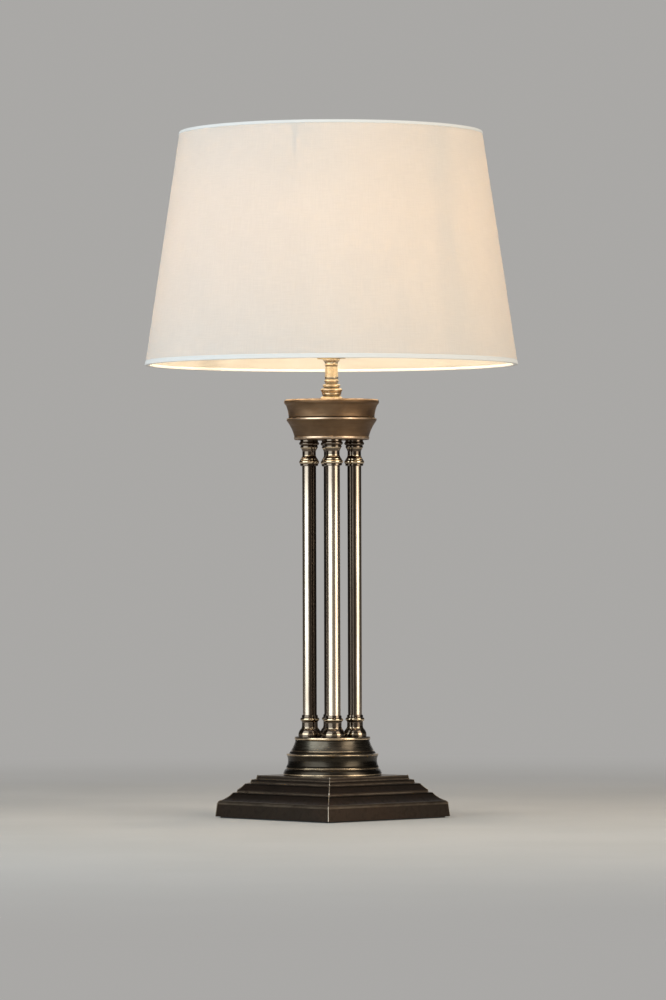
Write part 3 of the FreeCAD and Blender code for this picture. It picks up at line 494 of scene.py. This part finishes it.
def styrene():
    """The white sheet inside the shade, which lets most of the light through."""
    white, yellowed = (0.93, 0.92, 0.89), (0.90, 0.885, 0.85)
    tree = Tree("shade_backing_sheet")
    cloud = tree.noise(tree.where, 30.0, 3.0, 0.5)
    fine = tree.noise(tree.where, 700.0, 2.0, 0.5)
    base = tree.mix(tree.ranged(cloud, 0.3, 0.7), white, yellowed)
    normal = tree.bump(fine, 0.02 * MM, 0.2)
    tree.set(Base_Color=base, Roughness=0.5, Normal=normal)
    tree.let_through(0.70, base, normal)
    return tree.material


def tape(name, colour):
    """The shade's woven edge tape."""
    tree = Tree(name)
    height, slubs, _ = woven(tree, 1100.0, 1100.0)
    tone = tree.ranged(slubs, 0.3, 0.7, 0.95, 1.04, smooth=False)
    tree.set(Base_Color=tree.toned(colour, tone), Roughness=0.8, Sheen_Weight=0.1,
             Normal=tree.bump(height, 0.08 * MM, 0.35))
    return tree.material


def felt():
    """Near-black felt."""
    tree = Tree("green_black_felt")
    fuzz = tree.noise(tree.where, 1400.0, 4.0, 0.75)
    cloud = tree.noise(tree.where, 50.0, 4.0, 0.6)
    base = tree.mix(tree.ranged(cloud, 0.3, 0.7), (0.030, 0.030, 0.029), (0.048, 0.047, 0.044))
    tree.set(Base_Color=base, Roughness=0.95, Sheen_Weight=0.5,
             Normal=tree.bump(fuzz, 0.25 * MM, 0.9))
    return tree.material


def lit_glass():
    """The frosted bulb, alight: dimmer at its neck, and at its brightest past its middle."""
    tree = Tree("bulb_frosted")
    low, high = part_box("bulb_glass")
    brightest = low.z + 0.6 * (high.z - low.z)
    along = tree.ranged(tree.height(), low.z, brightest, 0.25, 1.0)
    frost = tree.noise(tree.where, 900.0, 2.0, 0.5)
    tree.set(Base_Color=(0.93, 0.92, 0.90, 1.0), Roughness=0.35,
             Emission_Color=(*BULB_COLOUR, 1.0),
             Emission_Strength=tree.times(along, BULB_GLOW),
             Normal=tree.bump(frost, 0.02 * MM, 0.2))
    return tree.material


# ---------------------------------------------------------------- mesh helpers
def link_piece(name, mesh, smooth=True):
    """Show a mesh as an object of that name."""
    for polygon in mesh.polygons:
        polygon.use_smooth = smooth
    mesh.update()
    piece = bpy.data.objects.new(name, mesh)
    scene.collection.objects.link(piece)
    return piece


def new_piece(name, points, faces, material, smooth=True):
    """Show points and faces as an object of that name."""
    mesh = bpy.data.meshes.new(name)
    mesh.from_pydata(points, [], faces)
    mesh.materials.append(material)
    return link_piece(name, mesh, smooth)


def stacked_faces(rings, count):
    """Quads between rings of points that are stacked upwards, and a face over each end."""
    faces = []
    for j in range(rings - 1):
        for i in range(count):
            k = (i + 1) % count
            faces.append((j * count + i, j * count + k, (j + 1) * count + k, (j + 1) * count + i))
    faces.append(tuple(range(count - 1, -1, -1)))
    faces.append(tuple((rings - 1) * count + i for i in range(count)))
    return faces


def polar(radius, angle, z):
    """The point at that radius and angle about the lamp's axis, and at that height."""
    return radius * math.cos(angle), radius * math.sin(angle), z


# ---------------------------------------------------------------- soft pieces
def radius_near(node, height):
    """The largest radius about the lamp's axis of a node's points at that height."""
    return max(math.hypot(v.co.x, v.co.y) for v in nodes[node].data.vertices
               if abs(v.co.z - height) < 0.2 * MM)


class Cone:
    """The shade's taper, read from its packed cover."""

    def __init__(self):
        low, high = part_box("shade_fabric")
        self.low, self.high = low.z, high.z
        self.low_r = radius_near("shade_fabric", low.z)
        self.high_r = radius_near("shade_fabric", high.z)
        self.slope = (self.high_r - self.low_r) / (self.high - self.low)

    def radius(self, z):
        return self.low_r + self.slope * (z - self.low)


def ring_of_profile(name, profile, material, wobble, waves):
    """A closed profile of (radius, height) carried round the axis, with UVs in metres. It
    strays in and out by about wobble, in about that many waves, as glued cloth does."""
    count = len(profile)
    lengths = [0.0]
    for a, b in zip(profile, profile[1:] + profile[:1]):
        lengths.append(lengths[-1] + math.dist(a, b))
    points, faces, uvs = [], [], []
    mean_r = sum(r for r, z in profile) / count
    for i in range(ROUND_STEPS):
        angle = math.tau * i / ROUND_STEPS
        push = wobble * (math.sin(waves * angle) + 0.6 * math.sin(2.3 * waves * angle + 1.1))
        points.extend(polar(r + push, angle, z) for r, z in profile)
        n = (i + 1) % ROUND_STEPS
        u0, u1 = (math.tau * mean_r * step / ROUND_STEPS for step in (i, i + 1))
        for j in range(count):
            k = (j + 1) % count
            v0, v1 = lengths[j], lengths[j + 1]
            faces.append((i * count + j, n * count + j, n * count + k, i * count + k))
            uvs.append(((u0, v0), (u1, v0), (u1, v1), (u0, v1)))
    piece = new_piece(name, points, faces, material)
    layer = piece.data.uv_layers.new(name="UVMap")
    for polygon, corners in zip(piece.data.polygons, uvs):
        for loop, uv in zip(polygon.loop_indices, corners):
            layer.data[loop].uv = uv
    return piece


def shade_cover(cone, material):
    """The linen: a thin closed shell from edge to edge, with the faint ripple of cloth that
    was rolled on by hand, and its two faces CLOTH_T apart."""
    heights = [cone.low + (cone.high - cone.low) * j / COVER_ROWS for j in range(COVER_ROWS + 1)]
    outer = [(cone.radius(z), z) for z in heights]
    inner = [(cone.radius(z) - CLOTH_T, z) for z in reversed(heights)]
    return ring_of_profile("shade_cover", outer + inner, material, wobble=0.05 * MM, waves=9)


def rounded(path, radius, steps):
    """A polyline with its corners rounded by short quadratic curves."""
    made = [path[0]]
    for before, corner, after in zip(path, path[1:], path[2:]):
        a, b, c = (Vector(p) for p in (before, corner, after))
        start = b + (a - b).normalized() * min(radius, (a - b).length / 2)
        end = b + (c - b).normalized() * min(radius, (c - b).length / 2)
        for i in range(steps + 1):
            t = i / steps
            point = start * (1 - t) ** 2 + b * 2 * t * (1 - t) + end * t ** 2
            made.append((point.x, point.y))
    made.append(path[-1])
    return made


def tape_ring(name, node, cone, material, at_top):
    """Tape folded over the shade's edge: a thin band outside, then over the wire and inside.
    Its hem thins to lie flat on the cover."""
    low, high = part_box(node)
    inner_r = min(math.hypot(v.co.x, v.co.y) for v in nodes[node].data.vertices)
    edge, hem, inwards = (high.z, low.z, -1) if at_top else (low.z, high.z, 1)
    reach = edge + inwards * TAPE_TURN_IN
    under = edge + inwards * TAPE_T
    outer = [
        (cone.radius(hem) + 0.25 * TAPE_T, hem),
        (cone.radius(hem) + TAPE_T, hem + (edge - hem) * 0.12),
        (cone.radius(edge) + TAPE_T, edge),
        (inner_r + TAPE_GAP, edge),
        (inner_r + TAPE_GAP, reach),
    ]
    inner = [
        (inner_r + TAPE_T, reach),
        (inner_r + TAPE_T, under),
        (cone.radius(edge), under),
        (cone.radius(hem) + 0.02 * TAPE_T, hem),
    ]
    profile = rounded(outer, TAPE_FOLD_R, 4) + rounded(inner, TAPE_INNER_FOLD_R, 2)
    if not at_top:
        profile.reverse()
    return ring_of_profile(name, profile, material, wobble=0.04 * MM, waves=5)


def shade_seam(cone, material):
    """The cover's turned and glued overlap, up the back of the shade."""
    rows, across = 60, 10
    face_sunk, back_sunk = 0.08 * MM, 0.12 * MM
    shares = [i / across for i in range(across + 1)]
    low, high = cone.low + SEAM_ABOVE_FOOT, cone.high - SEAM_BELOW_TOP
    points = []
    for j in range(rows + 1):
        z = low + (high - low) * j / rows
        r = cone.radius(z)
        stray = 0.25 * MM * math.sin(j * 0.7) + 0.15 * MM * math.sin(j * 1.9)
        angles = [SEAM_ANGLE + (SEAM_WIDTH * (t - 0.5) + stray) / r for t in shares]
        for t, angle in zip(shares, angles):
            rise = SEAM_PROUD * min(1.0, 4.0 * min(t, 1 - t)) ** 0.5
            points.append(polar(r - face_sunk + rise, angle, z))
        points.extend(polar(r - back_sunk, angle, z) for angle in reversed(angles))
    faces = stacked_faces(rows + 1, 2 * (across + 1))
    piece = new_piece("shade_seam", points, faces, material)
    layer = piece.data.uv_layers.new(name="UVMap")
    for loop in piece.data.loops:
        co = piece.data.vertices[loop.vertex_index].co
        layer.data[loop.index].uv = (math.atan2(co.y, co.x) * cone.low_r, co.z)
    return piece


def felt_sheet(material):
    """The felt under the base, its cut edge soft and a little uneven."""
    low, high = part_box("felt_pad")
    half = high.x
    straight = half - FELT_CORNER_R
    per_side, per_corner = 90, 8
    margin = 0.1 * MM
    outline = []
    for quarter in range(4):
        turn = Matrix.Rotation(quarter * math.pi / 2, 2)
        for i in range(per_side):
            outline.append(turn @ Vector((half, -straight + i / per_side * 2 * straight)))
        for i in range(per_corner):
            angle = math.pi / 2 * i / per_corner
            outline.append(turn @ Vector((straight + FELT_CORNER_R * math.cos(angle),
                                          straight + FELT_CORNER_R * math.sin(angle))))
    points = []
    for share, inset in FELT_EDGE:
        z = low.z + share * (high.z - low.z)
        for n, p in enumerate(outline):
            fray = 0.10 * MM * math.sin(n * 1.7 + share * 9) + 0.08 * MM * math.sin(n * 4.3)
            shrink = 1 - (inset * MM + max(0.0, fray) + margin) / half
            points.append((p.x * shrink, p.y * shrink, z))
    faces = stacked_faces(len(FELT_EDGE), len(outline))
    return new_piece("felt_sheet", points, faces, material)


def make_soft_pieces():
    cone = Cone()
    cloth = linen("shade_linen", through_colour=(0.86, 0.70, 0.50), see_through=0.40)
    lap = linen("shade_linen_lap", through_colour=(0.95, 0.90, 0.82), see_through=0.74)
    band = tape("shade_tape", (0.74, 0.735, 0.72))
    cover = shade_cover(cone, cloth)
    top = tape_ring("top_tape", "top_trim", cone, band, at_top=True)
    bottom = tape_ring("bottom_tape", "bottom_trim", cone, band, at_top=False)
    seam = shade_seam(cone, lap)
    for piece, node, slot in ((cover, "shade_fabric", "shade_fabric"), (top, "top_trim", "shade_trim"),
                              (bottom, "bottom_trim", "shade_trim"), (seam, None, "shade_fabric")):
        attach(piece, "shade")
        if node:
            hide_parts(node)
    pad = felt_sheet(felt())
    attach(pad, "root")
    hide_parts("felt_pad")


# ---------------------------------------------------------------- mitres of the plinth
def corner_profile(node):
    """The mitre of a node's outside in its +X, -Y corner, as (half-width, height), upwards."""
    corner = [v.co for v in nodes[node].data.vertices
              if v.co.x > 0 and abs(v.co.x + v.co.y) < 0.01 * MM]
    outside = [p for p in corner if not any(q.z > p.z and q.x > p.x + 0.01 * MM for q in corner)]
    return sorted({(round(p.x, 6), round(p.z, 6)) for p in outside}, key=lambda p: (p[1], -p[0]))


def mitre_mesh(profile, sign_x, sign_y, phase):
    """A ridge up one corner, thinner and thicker by turns, as a file leaves it."""
    curve = bpy.data.curves.new("mitre_line", "CURVE")
    curve.dimensions = "3D"
    curve.bevel_depth = MITRE_R
    curve.bevel_resolution = 3
    curve.use_fill_caps = True
    spline = curve.splines.new("POLY")
    spline.points.add(len(profile) - 1)
    for point, (half, z) in zip(spline.points, profile):
        point.co = (sign_x * (half - MITRE_SUNK), sign_y * (half - MITRE_SUNK), z, 1.0)
        point.radius = 0.75 + 0.25 * math.sin(z / MM * 1.9 + phase)
    holder = bpy.data.objects.new("mitre_curve", curve)
    mesh = bpy.data.meshes.new_from_object(holder)
    bpy.data.objects.remove(holder)
    return mesh


def mitre_lines():
    """The soldered mitres: a fine filed ridge up each corner of the plinth. The first, in
    front, is brighter than the others: a painted highlight."""
    bright = plain_metal("mitre_front_highlight", (0.88, 0.78, 0.66), 0.26, scale=60.0)
    dull = plain_metal("mitre_dull", (0.24, 0.19, 0.14), 0.34, scale=60.0)
    profile = corner_profile("base_plinth")
    for number, (sign_x, sign_y) in enumerate(((1, -1), (1, 1), (-1, 1), (-1, -1)), 1):
        mesh = mitre_mesh(profile, sign_x, sign_y, number)
        mesh.materials.clear()
        # Painted highlight: the front mitre is pale, the others dark.
        mesh.materials.append(bright if number == 1 else dull)
        piece = link_piece("mitre_line_%d" % number, mesh)
        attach(piece, "root")


# ---------------------------------------------------------------- finishes of the CAD nodes
def finish(material, *names):
    """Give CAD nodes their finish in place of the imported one."""
    for name in names:
        slots = nodes[name].data.materials
        slots.clear()
        slots.append(material)


def finish_fasteners():
    finish(plain_metal("zinc_plate", (0.50, 0.50, 0.51), 0.38), "bottom_plate", "plate_screws",
           "weight_screws", "rod_washers_lower", "rod_nuts_lower", "rod_washers_upper",
           "rod_nuts_upper", "nipple_washer", "nipple_nut", "bush_nut")
    finish(plain_metal("lamp_pipe", (0.56, 0.50, 0.38), 0.30), "tie_rod_1", "tie_rod_2",
           "tie_rod_3", "tie_rod_4", "neck_nipple")


def finish_base():
    finish(iron(), "base_weight")
    finish(plinth_metal(), "base_plinth")
    low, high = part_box("base_collar")
    finish(turned_metal(
        "collar_bronze", (0.125, 0.108, 0.084), (0.066, 0.050, 0.036), 0.25, brush=0.12, stain=0.8,
        lines=marks_above(high.z, COLLAR_TOP_LINES) + marks_above(low.z, COLLAR_LINES),
        wear_and_highlight_colour=(0.86, 0.66, 0.44),
        grooves=marks_above(low.z, COLLAR_GROOVES) + marks_above(high.z, COLLAR_TOP_GROOVES),
        shaded_below=low.z + 22.0 * MM, shade_depth=0.75), "base_collar")


def fitting_metal(name, node, marks):
    """The columns' turned feet and heads: dark bronze, bright along each bead and roll, partly with
    wear and partly as a painted highlight.
    """
    low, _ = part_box(node)
    return turned_metal(name, (0.19, 0.15, 0.115), (0.075, 0.055, 0.042), 0.15, brush=0.05,
                        stain=0.7, ring_scale=1400.0, lines=marks_above(low.z, marks),
                        wear_and_highlight_colour=(0.78, 0.62, 0.42))


def finish_columns():
    foot = fitting_metal("foot_bronze", "column_foot_1", FOOT_LINES)
    cap = fitting_metal("cap_bronze", "column_cap_1", CAP_LINES)
    for number in range(1, 5):
        tube = "column_tube_%d" % number
        finish(column_metal(tube), tube)
        finish(foot, "column_foot_%d" % number)
        finish(cap, "column_cap_%d" % number)


def finish_capital():
    low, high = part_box("capital_cup")
    finish(turned_metal(
        "capital_bronze", (0.225, 0.142, 0.082), (0.152, 0.092, 0.052), 0.46, brush=0.14, stain=0.7,
        ring_scale=700.0,
        lines=marks_above(high.z, CAPITAL_TOP_LINES) + marks_above(low.z, CAPITAL_LINES),
        wear_and_highlight_colour=(0.80, 0.60, 0.43), grooves=marks_above(low.z, CAPITAL_GROOVES),
        shaded_below=low.z + 22.0 * MM, shade_depth=0.22), "capital_cup")
    finish(turned_metal("lid_bronze", (0.34, 0.26, 0.19), (0.22, 0.16, 0.11), 0.40, brush=0.12),
           "capital_lid")
    low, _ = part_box("neck_stem")
    finish(turned_metal("neck_brass", (0.86, 0.72, 0.51), (0.68, 0.52, 0.33), 0.22, brush=0.08,
                        stain=0.45, ring_scale=1200.0, grooves=marks_above(low.z, NECK_GROOVES)),
           "neck_stem")


def finish_socket():
    finish(turned_metal("socket_brass", (0.80, 0.64, 0.36), (0.62, 0.46, 0.24), 0.20, brush=0.06,
                        stain=0.35),
           "socket_cap", "socket_shell", "centre_contact", "switch_shaft")
    finish(moulded("black_moulding", (0.016, 0.016, 0.017), 0.28), "cord_bush", "socket_core",
           "switch_knob")
    finish(moulded("vulcanised_fibre", (0.055, 0.045, 0.038), 0.6), "socket_sleeve")
    finish(plain_metal("nickel_screw_shell", (0.74, 0.74, 0.75), 0.22), "screw_shell")
    finish(plain_metal("nickel_lamp_cap", (0.70, 0.70, 0.70), 0.28), "bulb_cap")
    finish(lit_glass(), "bulb_glass")


def finish_harp_and_shade():
    finish(plain_metal("harp_satin_brass", (0.74, 0.59, 0.35), 0.30), "harp_saddle", "harp_wire",
           "harp_stud", "harp_sleeve_1", "harp_sleeve_2")
    finish(turned_metal("finial_brass", (0.74, 0.58, 0.41), (0.45, 0.33, 0.21), 0.22, brush=0.08),
           "finial")
    finish(moulded("white_enamel", (0.80, 0.79, 0.75), 0.35), "spider_hub", "spider_arms",
           "shade_top_ring", "shade_bottom_ring")
    finish(styrene(), "shade_backing")


# ---------------------------------------------------------------- studio
def studio_card(name, angle, distance, width, height, centre_z, colour):
    """A plain upright card beside the set, which only mirrors in the lamp's metal."""
    tree = Tree(name + "_paint")
    tone = tree.ranged(tree.noise(tree.where, 1.5), 0.3, 0.7, 0.9, 1.1)
    tree.set(Base_Color=tree.toned(colour, tone), Roughness=0.9)
    middle = studio_point(angle, distance, centre_z)
    across = compass(angle + math.pi / 2) * (width / 2)
    up = UP * (height / 2)
    corners = [middle - across - up, middle + across - up, middle + across + up, middle - across + up]
    card = new_piece(name, [tuple(c) for c in corners], [(0, 1, 2, 3)], tree.material, smooth=False)
    card.visible_camera = False
    card.visible_shadow = False
    card.visible_diffuse = False


def floor():
    """A pale painted floor, which fades into the background further out."""
    tree = Tree("floor_paint")
    soft = tree.noise(tree.where, 3.0, 4.0, 0.55)
    base = tree.mix(tree.ranged(soft, 0.3, 0.7), (0.50, 0.488, 0.47), (0.54, 0.527, 0.51))
    tree.set(Base_Color=base, Roughness=0.7, Specular_IOR_Level=0.25)
    x, y, _ = tree.xyz(tree.where)
    haze = tree.node("Emission")
    haze.inputs["Color"].default_value = (*BACKGROUND, 1.0)
    tree.blend_in(tree.ranged(axis_distance(tree, x, y), HAZE_FROM, HAZE_TO), haze.outputs[0])
    corners = [(sign_x * FLOOR_HALF, sign_y * FLOOR_HALF, 0)
               for sign_x, sign_y in ((-1, -1), (1, -1), (1, 1), (-1, 1))]
    new_piece("floor", corners, [(0, 1, 2, 3)], tree.material, smooth=False)


def world():
    """An even light from all round, in the background's colour."""
    made = bpy.data.worlds.new("studio")
    scene.world = made
    made.use_nodes = True
    made.node_tree.nodes["Background"].inputs["Color"].default_value = (*BACKGROUND, 1.0)
    made.node_tree.nodes["Background"].inputs["Strength"].default_value = 1.0


def softbox(name, angle, distance, width, height, centre_z, radiance, colour):
    """A rectangular light that looks at the lamp and shows that brightness at any size."""
    data = bpy.data.lights.new(name, "AREA")
    data.shape = "RECTANGLE"
    data.size, data.size_y = width, height
    data.energy = radiance * math.pi * width * height
    data.color = colour
    light = bpy.data.objects.new(name, data)
    scene.collection.objects.link(light)
    place = studio_point(angle, distance, centre_z)
    light.location = place
    light.rotation_euler = (UP * SOFTBOX_AIM - place).to_track_quat("-Z", "Y").to_euler()
    light.visible_camera = False


def bulb_light():
    """The light that the frosted bulb gives, from inside its glass, which lets it out."""
    low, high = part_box("bulb_glass")
    width = high.x - low.x
    data = bpy.data.lights.new("filament", "POINT")
    data.energy = BULB_POWER
    data.color = BULB_COLOUR
    data.shadow_soft_size = BULB_BALL * width
    light = bpy.data.objects.new("filament", data)
    scene.collection.objects.link(light)
    light.location = (0.0, 0.0, high.z - 0.5 * width)
    light.visible_camera = False
    light.visible_glossy = False
    nodes["bulb_glass"].visible_shadow = False


def light_the_set():
    world()
    floor()
    softbox("window_left", math.radians(-49), distance=2.0, width=2.3, height=2.4, centre_z=0.95,
            radiance=2.45, colour=(0.84, 0.95, 1.0))
    softbox("window_right", math.radians(53), distance=1.6, width=0.95, height=1.8, centre_z=0.80,
            radiance=3.25, colour=(1.0, 0.92, 0.77))
    studio_card("card_front", math.radians(17), distance=3.0, width=2.8, height=3.6, centre_z=1.2,
                colour=(0.36, 0.33, 0.30))
    for name, angle in (("card_left", -118), ("card_right", 118)):
        studio_card(name, math.radians(angle), distance=2.4, width=3.7, height=3.6, centre_z=1.2,
                    colour=(0.05, 0.045, 0.04))
    bulb_light()


make_camera()
finish_fasteners()
finish_base()
finish_columns()
finish_capital()
finish_socket()
finish_harp_and_shade()
make_soft_pieces()
mitre_lines()
light_the_set()
scene.view_settings.view_transform = "Standard"
